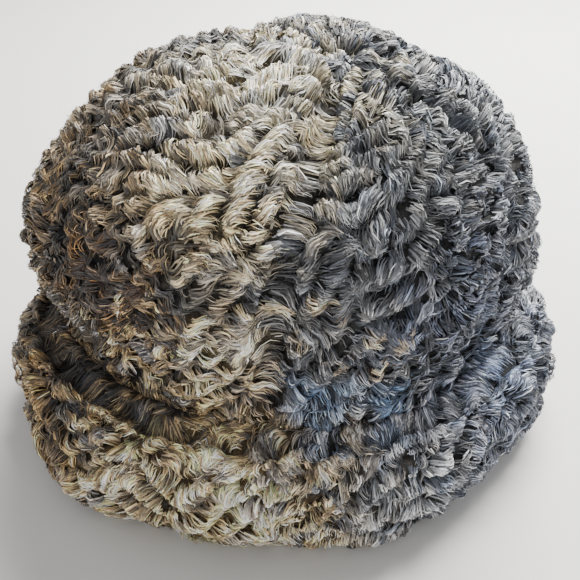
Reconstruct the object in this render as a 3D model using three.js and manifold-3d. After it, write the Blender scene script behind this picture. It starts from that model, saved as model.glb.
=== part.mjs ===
// A soft brimmed hat of grey karakul lamb fur, with a domed crown sewn from gores and a thick rolled brim.
// Millimetres, +Z up. The hat stands on the flat of its hem at z = 0, with the long way of the head along X.
// Its fur is outside, raised in rows of curls, and its hide is inside.
import * as THREE from "three";
import Module from "manifold-3d";

// Head opening at the headline, where the crown meets the brim
const headHalfLength = 100;
const headHalfBreadth = 82;

// Pelt
const hideThickness = 1.6;
const furDepth = 7.4;
const sewingGap = 0.3;

// Crown: the top of its dome and the apex where its seams meet each lie off the middle of the head
const crownHeight = 126;
const topAlong = 3;
const topAcross = 8;
const apexAlong = 20;
const apexAcross = -14;
const goreSwell = 5;
const crownDent = 6;
const seamDepth = 3;
const seamReach = 6;
const seamLean = 12;

// Brim
const brimHeight = 52;
const brimFlare = 23;
const brimDent = 9;

// Curls
const curlLength = 32;
const curlRelief = 3.6;
const curlEndShare = 0.8;
const curlWander = 5;

// Fineness of the surfaces, in stations round the hat and rows along its sections
const rowsPerCurl = 3;
const crownStations = 80;
const crownCurlRows = 11;
const liningStations = 32;
const liningRows = 7;
const brimStations = 96;
const brimCurlRows = 5;
const wedgeLayers = 8;

const wall = hideThickness + furDepth;
const headlineLength = headHalfLength + wall;
const headlineBreadth = headHalfBreadth + wall;
const furColour = 0x8a8781;
const degree = Math.PI / 180;

// Seams of the crown, by their direction from the apex at the top of the hat, each with the gore that begins
// there going round anticlockwise as seen from above. Down to the headline they all lean back by seamLean.
const seams = [
  { angle: -100, gore: "crown_front_right" },
  { angle: -24, gore: "crown_right" },
  { angle: 46, gore: "crown_back" },
  { angle: 124, gore: "crown_left" },
];

// Sections of the crown, as shares of its height and of the headline's outer half length and half breadth
const crownSections = [
  { name: "headline", rise: 0, length: 0.99, breadth: 0.98 },
  { name: "band", rise: 0.14, length: 0.98, breadth: 0.99 },
  { name: "side", rise: 0.37, length: 1.0, breadth: 1.04 },
  { name: "shoulder", rise: 0.66, length: 0.92, breadth: 1.01 },
  { name: "top", rise: 0.855, length: 0.67, breadth: 0.79 },
  { name: "cap", rise: 0.955, length: 0.33, breadth: 0.41 },
  { name: "apex", rise: 1, length: 0, breadth: 0 },
];

// Sections of the brim's fur side, from the crease at the crown out and down to the hem, as shares of its flare
// past the headline and of its height
const brimSections = [
  { name: "crease", flare: 0.04, height: 1 },
  { name: "lip", flare: 0.48, height: 1.07 },
  { name: "roll", flare: 0.9, height: 0.85 },
  { name: "brow", flare: 1, height: 0.52 },
  { name: "skirt", flare: 0.9, height: 0.24 },
  { name: "foot", flare: 0.66, height: 0.06 },
];

// Sections of the brim's under side, from the hem up to the seat that the crown is sewn to
const underSections = [
  { name: "hem_outer", flare: 0.5, height: 0 },
  { name: "hem_inner", flare: 0.12, height: 0 },
  { name: "under_low", flare: 0.1, height: 0.18 },
  { name: "under_middle", flare: 0.08, height: 0.5 },
  { name: "under_high", flare: -0.16, height: 0.84 },
  { name: "seat", flare: -wall / brimFlare, height: 1 },
];

// Dents and swellings of the crown: direction and reach in degrees, rise over the headline and how tall as
// shares of crownHeight, and how far out as a share of crownDent
const crownDents = [
  { name: "left_shoulder", angle: 168, reach: 26, rise: 0.75, tall: 0.18, out: -1 },
  { name: "left_bulge", angle: 183, reach: 22, rise: 0.32, tall: 0.24, out: 1.15 },
  { name: "left_tuck", angle: 222, reach: 20, rise: 0.18, tall: 0.13, out: -0.85 },
  { name: "right_tuck", angle: 318, reach: 16, rise: 0.16, tall: 0.13, out: -0.65 },
  { name: "right_bulge", angle: 357, reach: 16, rise: 0.22, tall: 0.14, out: 0.85 },
  { name: "right_flat", angle: 8, reach: 26, rise: 0.62, tall: 0.14, out: -1 },
];

// Dents and swellings of the brim: rise over the hem and how tall as shares of brimHeight, and how far out as a
// share of brimDent
const brimDents = [
  { name: "left", angle: 192, reach: 16, rise: 0.5, tall: 0.6, out: 0.4 },
  { name: "left_front", angle: 222, reach: 15, rise: 0.2, tall: 0.5, out: 1 },
  { name: "front", angle: 252, reach: 9, rise: 0.27, tall: 0.5, out: 0.33 },
  { name: "front_right", angle: 290, reach: 11, rise: 0.23, tall: 0.5, out: 0.45 },
  { name: "right_dip", angle: 322, reach: 12, rise: 0.38, tall: 0.58, out: -0.45 },
];

const wasm = await Module();
wasm.setup();

// The difference between two directions in degrees, from -180 to 180
function turnBetween(from, to) {
  return THREE.MathUtils.euclideanModulo(to - from + 180, 360) - 180;
}

function sectionCurve(rows) {
  return new THREE.CatmullRomCurve3(rows, false, "centripetal");
}

// A point of a level oval whose half length, half breadth and height are a section's x, y and z
function ovalPoint(section, angle) {
  return new THREE.Vector3(section.x * Math.cos(angle), section.y * Math.sin(angle), section.z);
}

// The way out of the surface at a section, given the section above it
function outward(section, above, angle) {
  const round = new THREE.Vector3(-section.x * Math.sin(angle), section.y * Math.cos(angle), 0);
  return round.cross(ovalPoint(above, angle).sub(ovalPoint(section, angle))).normalize();
}

// Moves a point level, out from the middle of the hat, by the dents and swellings that reach it
function dented(point) {
  const direction = Math.atan2(point.y, point.x) / degree;
  const outBy = (table, rise) => table.reduce((sum, dent) => {
    const round = turnBetween(dent.angle, direction) / dent.reach;
    const up = (rise - dent.rise) / dent.tall;
    return sum + dent.out * Math.exp(-round * round - up * up);
  }, 0);
  const out = crownDent * outBy(crownDents, (point.z - brimHeight) / crownHeight) +
    brimDent * outBy(brimDents, point.z / brimHeight);
  const scale = 1 + out / Math.max(Math.hypot(point.x, point.y), headHalfBreadth / 2);
  return point.set(point.x * scale, point.y * scale, point.z);
}

// How many stations a curl spans: of the counts that go evenly round, the one nearest to the curl's length
function curlSpan(stations, girth) {
  const spans = Array.from({ length: stations / 2 }, (_, i) => i + 2).filter((n) => stations % n === 0);
  const misfit = (span) => Math.abs((span * girth) / stations - curlLength);
  return spans.reduce((best, span) => (misfit(span) < misfit(best) ? span : best));
}

// How far the fur stands below the crests at a row and station. The curls lie in bands of rows with a hollow
// between, each band is broken into curls, and the curls of neighbouring bands are staggered.
function curlHollow(row, station, stations, girth) {
  if (row % rowsPerCurl === 0) return curlRelief;
  const band = Math.floor(row / rowsPerCurl);
  const span = curlSpan(stations, girth);
  const place = (station + Math.floor((band * span) / 2)) % stations;
  if (place % span === 0) return curlRelief * curlEndShare;
  return curlRelief * (0.2 + 0.2 * Math.sin(5.3 * band + 8.7 * Math.floor(place / span)));
}

// How far the bands of curls wander up and down their section, as a share of its length
function bandWander(angle, share, length) {
  const wave = 0.6 * Math.sin(3 * angle + 1) + 0.4 * Math.sin(7 * angle + 4 * share);
  return (curlWander / length) * wave * Math.sin(Math.PI * share);
}

// How far the seams have leaned at a height over the headline, in degrees
function leanAt(height) {
  return seamLean * (height / crownHeight - 1);
}

// Where a point lies in the gores, as seen from above: how far across its gore, and how far from a seam
function placeInGore(point) {
  const x = point.x - apexAlong;
  const y = point.y - apexAcross;
  const direction = Math.atan2(y, x) / degree - leanAt(point.z);
  const sides = seams.map((seam) => turnBetween(seam.angle, direction));
  const before = Math.min(...sides.map((side) => THREE.MathUtils.euclideanModulo(side, 360)));
  const after = Math.min(...sides.map((side) => THREE.MathUtils.euclideanModulo(-side, 360)));
  const nearest = Math.min(before, after, 90) * degree;
  return { across: before / (before + after), seamDistance: Math.hypot(x, y) * Math.sin(nearest) };
}

// One level ring of the crown. With no depth it is the fur's surface, else it lies that far inside the crests.
function crownRing(curve, row, rows, stations, depth) {
  const length = curve.getLength();
  return Array.from({ length: stations }, (_, i) => {
    const angle = (i / stations) * 2 * Math.PI;
    const plain = row / rows;
    const share = plain + bandWander(angle, plain, length);
    const section = curve.getPointAt(share);
    const above = curve.getPointAt(Math.min(share + 0.004, 1));
    const point = ovalPoint(section, angle);
    point.x += topAlong * share ** 6;
    point.y += topAcross * share ** 6;
    const out = outward(section, above, angle);
    const { across, seamDistance } = placeInGore(point);
    const swell = goreSwell * (4 * across * (1 - across) - 0.5) * Math.sin(Math.PI * share ** 0.8);
    const groove = seamDepth * Math.exp(-((seamDistance / seamReach) ** 2));
    const girth = Math.PI * (section.x + section.y);
    const hollow = depth || groove + curlHollow(row, i, stations, girth);
    point.addScaledVector(out, swell - hollow);
    point.z = brimHeight + sewingGap + (row === 0 ? 0 : point.z);
    return dented(point);
  });
}

// A closed solid between level rings, with a flat fan at the first and a tip past the last
function domeSolid(rings, tip) {
  const count = rings[0].length;
  const middle = rings[0].reduce((sum, p) => sum.add(p), new THREE.Vector3()).divideScalar(count);
  const points = [...rings.flat(), middle, tip];
  const last = (rings.length - 1) * count;
  const faces = [];
  for (let i = 0; i < count; i += 1) {
    const j = (i + 1) % count;
    faces.push([points.length - 2, j, i], [last + i, last + j, points.length - 1]);
    for (let low = 0; low < last; low += count) {
      const high = low + count;
      faces.push([low + i, low + j, high + j], [low + i, high + j, high + i]);
    }
  }
  return { points, faces };
}

// A closed ring whose cross-section is the same count of points at every station
function ringSolid(loops) {
  const count = loops[0].length;
  const faces = [];
  loops.forEach((_, station) => {
    const here = station * count;
    const there = ((station + 1) % loops.length) * count;
    for (let i = 0; i < count; i += 1) {
      const j = (i + 1) % count;
      faces.push([here + i, here + j, there + j], [here + i, there + j, there + i]);
    }
  });
  return { points: loops.flat(), faces };
}

function geometryOf({ points, faces }) {
  const geometry = new THREE.BufferGeometry().setFromPoints(points);
  geometry.setIndex(faces.flat());
  return geometry;
}

function solidOf({ points, faces }) {
  return new wasm.Manifold(
    new wasm.Mesh({
      numProp: 3,
      vertProperties: new Float32Array(points.flatMap((p) => [p.x, p.y, p.z])),
      triVerts: new Uint32Array(faces.flat()),
    }),
  );
}

function furMesh(name, geometry) {
  geometry.computeVertexNormals();
  const material = new THREE.MeshStandardMaterial({ color: furColour, roughness: 0.9, metalness: 0 });
  const mesh = new THREE.Mesh(geometry, material);
  mesh.name = name;
  return mesh;
}

function meshOf(name, solid) {
  const { vertProperties, triVerts } = solid.getMesh();
  const geometry = new THREE.BufferGeometry();
  geometry.setAttribute("position", new THREE.BufferAttribute(vertProperties, 3));
  geometry.setIndex(new THREE.BufferAttribute(triVerts, 1));
  return furMesh(name, geometry);
}

// The whole crown as a hollow dome: the solid inside its fur, less the solid that its hide encloses
function crownShell() {
  const curve = sectionCurve(crownSections.map(
    (s) => new THREE.Vector3(s.length * headlineLength, s.breadth * headlineBreadth, s.rise * crownHeight)));
  const rings = (rows, stations, depth) =>
    Array.from({ length: rows }, (_, row) => crownRing(curve, row, rows, stations, depth));
  const top = brimHeight + sewingGap + crownHeight;
  const tip = (depth) => new THREE.Vector3(topAlong, topAcross, top - depth);
  const outside = rings(crownCurlRows * rowsPerCurl, crownStations, 0);
  const inside = rings(liningRows, liningStations, wall);
  const mouth = inside[0].map((p) => p.clone().setZ(p.z - wall));
  return solidOf(domeSolid(outside, tip(curlRelief)))
    .subtract(solidOf(domeSolid([mouth, ...inside], tip(wall))));
}

// A leaning wedge that takes one gore out of the crown, half a sewing gap inside both of its seams
function goreWedge(from, to) {
  const reach = 3 * headlineLength;
  const corner = sewingGap / 2 / Math.sin((to - from) / 2);
  const layers = Array.from({ length: wedgeLayers + 1 }, (_, layer) => {
    const height = ((layer - 1) / (wedgeLayers - 2)) * crownHeight;
    const lean = leanAt(height) * degree;
    const middle = (from + to) / 2 + lean;
    const place = (angle, distance) => new THREE.Vector3(
      apexAlong + corner * Math.cos(middle) + distance * Math.cos(angle),
      apexAcross + corner * Math.sin(middle) + distance * Math.sin(angle),
      brimHeight + height);
    return [place(middle, 0), place(from + lean, reach), place(middle, 2 * reach), place(to + lean, reach)];
  });
  const top = 4 * wedgeLayers;
  const faces = [[0, 2, 1], [0, 3, 2], [top, top + 1, top + 2], [top, top + 2, top + 3]];
  for (let low = 0; low < top; low += 4) {
    const [a, b, c, d] = [low, low + 1, low + 2, low + 3];
    faces.push([a, b, b + 4], [a, b + 4, a + 4], [b, c, c + 4], [b, c + 4, b + 4]);
    faces.push([c, d, d + 4], [c, d + 4, c + 4], [d, a, d + 4], [a, a + 4, d + 4]);
  }
  return solidOf({ points: layers.flat(), faces });
}

function brimLoop(station) {
  const angle = (station / brimStations) * 2 * Math.PI;
  const section = ({ flare, height }) => new THREE.Vector3(
    headlineLength + flare * brimFlare, headlineBreadth + flare * brimFlare, height * brimHeight);
  const curve = sectionCurve(brimSections.map(section));
  const length = curve.getLength();
  const girth = Math.PI * (headlineLength + headlineBreadth + 2 * brimFlare);
  const rows = brimCurlRows * rowsPerCurl;
  const fur = Array.from({ length: rows + 1 }, (_, row) => {
    const plain = row / rows;
    const share = Math.min(plain + bandWander(angle, plain, length), 0.996);
    const here = curve.getPointAt(share);
    const out = outward(curve.getPointAt(share + 0.004), here, angle);
    const edge = row === 0 || row === rows ? 0 : 1;
    return ovalPoint(here, angle).addScaledVector(out, -edge * curlHollow(row, station, brimStations, girth));
  });
  const under = underSections.map((s) => ovalPoint(section(s), angle));
  return [...fur, ...under].map(dented);
}

const hat = new THREE.Group();

const shell = crownShell();
seams.forEach(({ angle, gore }, i) => {
  const next = seams[(i + 1) % seams.length].angle;
  const span = THREE.MathUtils.euclideanModulo(next - angle, 360);
  hat.add(meshOf(gore, shell.intersect(goreWedge(angle * degree, (angle + span) * degree))));
});

const brimLoops = Array.from({ length: brimStations }, (_, station) => brimLoop(station));
hat.add(furMesh("brim", geometryOf(ringSolid(brimLoops))));

// The bounding box of the hat is centred over the origin
const box = new THREE.Box3().setFromObject(hat);
hat.position.set(-(box.min.x + box.max.x) / 2, -(box.min.y + box.max.y) / 2, -box.min.z);

export default hat;
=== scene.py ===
import math

import bpy
import numpy as np
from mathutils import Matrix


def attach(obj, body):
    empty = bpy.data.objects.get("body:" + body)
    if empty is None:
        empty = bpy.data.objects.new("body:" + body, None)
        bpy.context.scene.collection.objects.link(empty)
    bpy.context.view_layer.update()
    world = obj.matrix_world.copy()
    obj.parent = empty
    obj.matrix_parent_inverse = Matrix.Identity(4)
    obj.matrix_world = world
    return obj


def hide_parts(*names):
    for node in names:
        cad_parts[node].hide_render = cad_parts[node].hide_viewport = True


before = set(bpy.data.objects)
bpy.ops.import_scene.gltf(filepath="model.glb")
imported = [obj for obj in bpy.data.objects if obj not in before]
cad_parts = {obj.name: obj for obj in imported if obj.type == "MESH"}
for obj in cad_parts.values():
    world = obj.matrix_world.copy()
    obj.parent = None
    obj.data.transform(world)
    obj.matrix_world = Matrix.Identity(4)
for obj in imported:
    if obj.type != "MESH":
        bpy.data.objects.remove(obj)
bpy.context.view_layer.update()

print("frame loaded:", len(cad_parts), "solids")

# Everything below is worked out in millimetres, as in the part, and made in metres
metre = 0.001

headForm = {
    "halfLength": 100,
    "halfBreadth": 82,
    "wall": 9,
    "shift": (1.15, 0.747, 0),  # puts the hat's box over the origin
}

crownForm = {
    "height": 126,
    "girth": 660,
    "gap": 0.3,
    "top": (3, 8),  # highest point of the dome
    "apex": (20, -14),  # where the seams meet
    "apexNormal": (0.1, -0.13, 0.98),
    "swell": 5,
    "seamDepth": 3.6,
    "seamReach": 5,
    "seamLean": 12,
    "dent": 6,
    "sections": [  # rise, half length, half breadth
        (0, 0.99, 0.98), (0.14, 0.98, 0.99), (0.37, 1.0, 1.04), (0.66, 0.92, 1.01),
        (0.855, 0.67, 0.79), (0.955, 0.33, 0.41), (1, 0, 0),
    ],
    "seams": [-100, -24, 46, 124, 260],  # directions from the apex; each gore lies between two
    "gores": ["crown_front_right", "crown_right", "crown_back", "crown_left"],
    "dents": [  # direction, reach, rise, how tall, share of the dent outwards
        (168, 26, 0.75, 0.18, -1), (183, 22, 0.32, 0.24, 1.15), (222, 20, 0.18, 0.13, -0.85),
        (318, 16, 0.16, 0.13, -0.65), (357, 16, 0.22, 0.14, 0.85), (8, 26, 0.62, 0.14, -1),
    ],
}

brimForm = {
    "height": 52,
    "flare": 23,
    "dent": 9,
    # shares of the flare and of the height, from the crease over the lip to the hem, and on up the inside
    "furSide": [
        (-0.3, 1), (0.04, 1), (0.48, 1.07), (0.9, 0.85), (1, 0.52), (0.9, 0.24), (0.66, 0.06), (0.5, 0),
    ],
    "underSide": [(0.5, 0), (0.12, 0), (0.1, 0.18), (0.08, 0.5), (-0.16, 0.84), (-0.391, 1)],
    "dents": [
        (192, 16, 0.5, 0.6, 0.4), (222, 15, 0.2, 0.5, 1), (252, 9, 0.27, 0.5, 0.33),
        (290, 11, 0.23, 0.5, 0.45), (322, 12, 0.38, 0.58, -0.45),
    ],
}


# Shapes

def smoothCurve(rows, samples=60):
    # a smooth curve through the rows, as lengths along it and the points there
    p = np.array(rows, float)
    p = np.vstack([2 * p[0] - p[1], p, 2 * p[-1] - p[-2]])
    t = np.linspace(0, 1, samples, endpoint=False)[:, None]
    pieces = []
    for a, b, c, d in zip(p[:-3], p[1:-2], p[2:-1], p[3:]):
        g, h, k = (max(np.linalg.norm(v) ** 0.5, 1e-6) for v in (b - a, c - b, d - c))
        m = ((b - a) / g - (c - a) / (g + h) + (c - b) / h) * h
        n = ((c - b) / h - (d - b) / (h + k) + (d - c) / k) * h
        pieces.append(b + m * t + (3 * (c - b) - 2 * m - n) * t ** 2 + (2 * (b - c) + m + n) * t ** 3)
    line = np.vstack(pieces + [p[-2:-1]])
    along = np.concatenate([[0], np.cumsum(np.linalg.norm(np.diff(line, axis=0), axis=1))])
    return along, line


def alongCurve(curve, share):
    along, line = curve
    return [np.interp(share * along[-1], along, line[:, k]) for k in range(line.shape[1])]


def unit(v):
    return v / np.maximum(np.linalg.norm(v, axis=-1, keepdims=True), 1e-9)


def swellings(table, direction, rise):
    # the sum of soft dents and bulges at a place
    total = 0
    for angle, reach, middle, tall, out in table:
        turn = (direction - angle + 180) % 360 - 180
        total = total + out * np.exp(-(turn / reach) ** 2 - ((rise - middle) / tall) ** 2)
    return total


def dented(point):
    direction = np.degrees(np.arctan2(point[..., 1], point[..., 0]))
    out = crownForm["dent"] * swellings(
        crownForm["dents"], direction, (point[..., 2] - brimForm["height"]) / crownForm["height"])
    out = out + brimForm["dent"] * swellings(brimForm["dents"], direction, point[..., 2] / brimForm["height"])
    far = np.hypot(point[..., 0], point[..., 1])
    scale = 1 + out / np.maximum(far, headForm["halfBreadth"] / 2)
    return np.stack([point[..., 0] * scale, point[..., 1] * scale, point[..., 2]], -1)


lengthOut = headForm["halfLength"] + headForm["wall"]
breadthOut = headForm["halfBreadth"] + headForm["wall"]
crownCurve = smoothCurve([(a * lengthOut, b * breadthOut, z * crownForm["height"])
                          for z, a, b in crownForm["sections"]])


def goreDirection(x, y, height):
    # direction from the apex in plan, less the lean of the seams at that height
    lean = crownForm["seamLean"] * (height / crownForm["height"] - 1)
    return np.degrees(np.arctan2(y - crownForm["apex"][1], x - crownForm["apex"][0])) - lean


def crownPoint(share, angle):
    a, b, z = alongCurve(crownCurve, share)
    nextA, nextB, nextZ = alongCurve(crownCurve, np.minimum(share + 0.004, 1))
    c, s = np.cos(angle), np.sin(angle)
    out = unit(np.cross(np.stack([-a * s, b * c, 0 * s], -1),
                        np.stack([(nextA - a) * c, (nextB - b) * s, nextZ - z + 0 * s], -1)))
    x = a * c + crownForm["top"][0] * share ** 6
    y = b * s + crownForm["top"][1] * share ** 6
    direction = (goreDirection(x, y, z) + 100) % 360 - 100
    seams = np.array(crownForm["seams"], float)
    gore = np.clip(np.searchsorted(seams, direction, side="right") - 1, 0, 3)
    before, span = direction - seams[gore], seams[gore + 1] - seams[gore]
    across = before / span
    near = np.radians(np.clip(np.minimum(before, span - before), 0, 90))
    seamFar = np.hypot(x - crownForm["apex"][0], y - crownForm["apex"][1]) * np.sin(near)
    swell = crownForm["swell"] * (4 * across * (1 - across) - 0.5) * np.sin(np.pi * share ** 0.8)
    groove = crownForm["seamDepth"] * np.exp(-(seamFar / crownForm["seamReach"]) ** 2)
    point = np.stack([x, y, z + 0 * s], -1) + out * (swell - groove)[..., None]
    point[..., 2] += brimForm["height"] + crownForm["gap"]
    return dented(point), seamFar


# The crown's grids run from the headline up to the apex, so a grid point is first given as a place in a disk
# whose middle is the apex, and then as the share and angle of the dome's own sections
def diskPoint(rise, turn, middle):
    w = (1 - rise) * np.exp(1j * turn)
    w = w + middle * (1 - np.abs(w) ** 2)
    return crownPoint(np.clip(1 - np.abs(w), 0, 1), np.angle(w))


def findApex():
    guess = np.array([0.12, -0.12])
    for _ in range(12):
        def miss(g):
            point, _ = crownPoint(np.array(1 - np.hypot(*g)), np.array(math.atan2(g[1], g[0])))
            return point[:2] - np.array(crownForm["apex"])
        here = miss(guess)
        slope = np.stack([(miss(guess + d) - here) / 1e-4 for d in np.eye(2) * 1e-4], 1)
        guess = guess - np.linalg.solve(slope, here)
    return complex(*guess)


apexPlace = findApex()


def goreGrid(index, rows, edge):
    # a grid of one gore with a few columns past each seam, so that hairs can cross it
    low, high = crownForm["seams"][index], crownForm["seams"][index + 1]
    columns = int(round((high - low) / 360 * crownForm["girth"] / curlForm["gridStep"] / 8)) * 8
    step = (high - low) / columns
    wanted = low + step * np.arange(-edge, columns + edge + 1)
    turns = np.linspace(0, 2 * np.pi, 721)[:-1]
    grid = []
    for rise in np.linspace(0, 0.998, rows):
        ring, _ = diskPoint(np.full(720, rise), turns, apexPlace)
        around = goreDirection(ring[:, 0], ring[:, 1], ring[:, 2] - brimForm["height"])
        around = np.degrees(np.unwrap(np.radians(around)))
        around = np.concatenate([around - 360, around, around + 360, around + 720])
        places = np.concatenate([turns - 2 * np.pi, turns, turns + 2 * np.pi, turns + 4 * np.pi])
        base = around[720]
        target = wanted + 360 * np.ceil((base - wanted) / 360)
        order = np.argsort(around)
        turn = np.interp(target, around[order], places[order])
        point, seamFar = diskPoint(np.full(len(turn), rise), turn, apexPlace)
        grid.append(np.concatenate([point, seamFar[:, None]], 1))
    grid = np.array(grid)
    return grid[..., :3] + headForm["shift"], grid[..., 3]


def brimSection(pairs):
    return [(lengthOut + f * brimForm["flare"], breadthOut + f * brimForm["flare"], h * brimForm["height"])
            for f, h in pairs]


def brimGrid(pairs, rows, columns):
    curve = smoothCurve(brimSection(pairs))
    a, b, z = (v[:, None] for v in alongCurve(curve, np.linspace(0, 1, rows)))
    turn = np.linspace(0, 2 * np.pi, columns, endpoint=False)[None, :]
    point = np.stack([a * np.cos(turn), b * np.sin(turn), z + 0 * turn], -1)
    return dented(point) + headForm["shift"]


# Curls

curlForm = {
    "seed": 7,
    "gridStep": 0.8,
    "wave": 8.8,  # from one curl's crest to the next
    "waveSpread": 0.14,
    "waveDrift": 0.16,
    "reach": 4.9,  # how far a curl keeps its line
    "spacing": 5,
    "align": 0.42,
    "relief": 6.4,
    "sunk": 7.4,  # the hollows lie this far under the solid's own face
    "deepest": -6.5,
    "skew": 0.35,
    "sharpness": 0.85,
    "calm": 0.3,  # how high the coat stands where the waves cancel out
    "closer": [  # direction, reach, height, how tall, mm by which the crown's fur lies closer
        (118, 30, 146, 22, 5.5), (55, 28, 146, 22, 5.2), (-158, 24, 142, 20, 3.4), (-18, 26, 92, 22, 1.2),
        (-10, 22, 138, 18, 1.3), (90, 999, 182, 13, -2.6),
    ],
    # by direction, the degrees that the coat leans from straight down
    "crownLie": [(-180, 36), (-135, 52), (-100, 54), (-60, 40), (-30, 22), (0, 14), (90, 20), (180, 36)],
    "brimLie": [(-180, 0), (-135, 4), (-100, 28), (-70, 26), (-40, 8), (0, 10), (90, 20), (180, 0)],
    "drift": 14,  # how far it turns away from that, slowly and then from curl to curl
    "wander": 26,
    # by direction, how deep the crease between crown and brim is
    "crease": [(-180, 4), (-150, 5), (-120, 4.5), (-95, 2), (-75, 0), (-40, 0), (60, 1), (180, 4)],
    "creaseReach": 9,
}


def gradients(grid, wraps):
    up = np.gradient(grid, axis=0)
    if wraps:
        beside = (np.roll(grid, -1, 1) - np.roll(grid, 1, 1)) / 2
    else:
        beside = np.gradient(grid, axis=1)
    return up, beside


def softNoise(points, size, rng, waves=10):
    total = 0
    for _ in range(waves):
        way = rng.normal(size=3)
        way *= 2 * np.pi / (size * rng.uniform(0.7, 1.4)) / np.linalg.norm(way)
        total = total + np.sin(points @ way + rng.uniform(0, 2 * np.pi))
    return total / math.sqrt(waves / 2)


def byDirection(points, name):
    table = np.array(curlForm[name], float)
    return np.interp(np.degrees(np.arctan2(points[..., 1], points[..., 0])), table[:, 0], table[:, 1])


def lieAt(grid, name, rng):
    return np.radians(byDirection(grid, name) + curlForm["drift"] * softNoise(grid, 90, rng)
                      + curlForm["wander"] * softNoise(grid, 30, rng, 24))


def creaseDepth(points, far):
    return byDirection(points, "crease") * np.exp(-(far / curlForm["creaseReach"]) ** 2)


def curlField(grid, wraps, lie, size, rng, coatRng):
    # Waves that run down the coat from many places are added up. Their phase gives the rows of curls, which
    # wander, fork and end as they do on a pelt.
    up, beside = gradients(grid, wraps)
    normal = unit(np.cross(beside, up))
    down = unit(-up)
    side = unit(np.cross(normal, down))
    rows, columns = grid.shape[:2]
    turned = lieAt(grid, lie, coatRng)
    waves = size * curlForm["wave"] * np.exp(curlForm["waveDrift"] * softNoise(grid, 50, coatRng))
    heading = down * np.cos(turned)[..., None] + side * np.sin(turned)[..., None]
    area = np.linalg.norm(np.cross(up, beside), axis=-1)
    count = int(area.sum() / curlForm["spacing"] ** 2)
    chosen = rng.choice(area.size, count, p=(area / area.sum()).ravel())
    reach = curlForm["reach"]
    field = np.zeros((rows, columns), complex)
    weight = np.zeros((rows, columns))
    rowStep = np.linalg.norm(up, axis=-1)
    columnStep = np.linalg.norm(beside, axis=-1)
    for place in chosen:
        i, j = divmod(int(place), columns)
        r = int(2.6 * reach / max(rowStep[i, j], 0.3)) + 1
        c = min(int(2.6 * reach / max(columnStep[i, j], 0.05)) + 1, columns // 2)
        rowRange = np.arange(max(0, i - r), min(rows, i + r + 1))
        if wraps:
            columnRange = np.arange(j - c, j + c) % columns
        else:
            columnRange = np.arange(max(0, j - c), min(columns, j + c + 1))
        where = np.ix_(rowRange, columnRange)
        away = grid[where] - grid[i, j]
        near = np.exp(-(away ** 2).sum(-1) / (2 * reach ** 2))
        wave = waves[i, j] * math.exp(curlForm["waveSpread"] * rng.normal())
        start = rng.uniform(-np.pi, np.pi)
        if abs(field[i, j]) > 0.2 and rng.random() < curlForm["align"]:
            start = float(np.angle(field[i, j]))
        field[where] += near * np.exp(1j * (2 * np.pi / wave * (away @ heading[i, j]) + start))
        weight[where] += near
    strength = np.abs(field) / np.maximum(weight, 0.05)
    return {"field": field, "strength": strength, "heading": heading, "normal": normal, "up": up,
            "round": beside, "area": area}


def crest(phase):
    # 1 on a curl's crest and 0 in the hollow, steeper on the side that the curl falls to
    skewed = phase + curlForm["skew"] * np.sin(phase)
    return np.abs(np.cos(skewed / 2)) ** curlForm["sharpness"]


def sample(field, row, column, wraps):
    rows, columns = field.shape[:2]
    row = np.clip(row, 0, rows - 1.001)
    i = np.floor(row).astype(int)
    if wraps:
        j = np.floor(column).astype(int)
        s = column - j
        j, k = j % columns, (j + 1) % columns
    else:
        column = np.clip(column, 0, columns - 1.001)
        j = np.floor(column).astype(int)
        s = column - j
        k = j + 1
    t = row - i
    if field.ndim == 3:
        s, t = s[:, None], t[:, None]
    return ((field[i, j] * (1 - s) + field[i, k] * s) * (1 - t)
            + (field[i + 1, j] * (1 - s) + field[i + 1, k] * s) * t)


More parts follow.
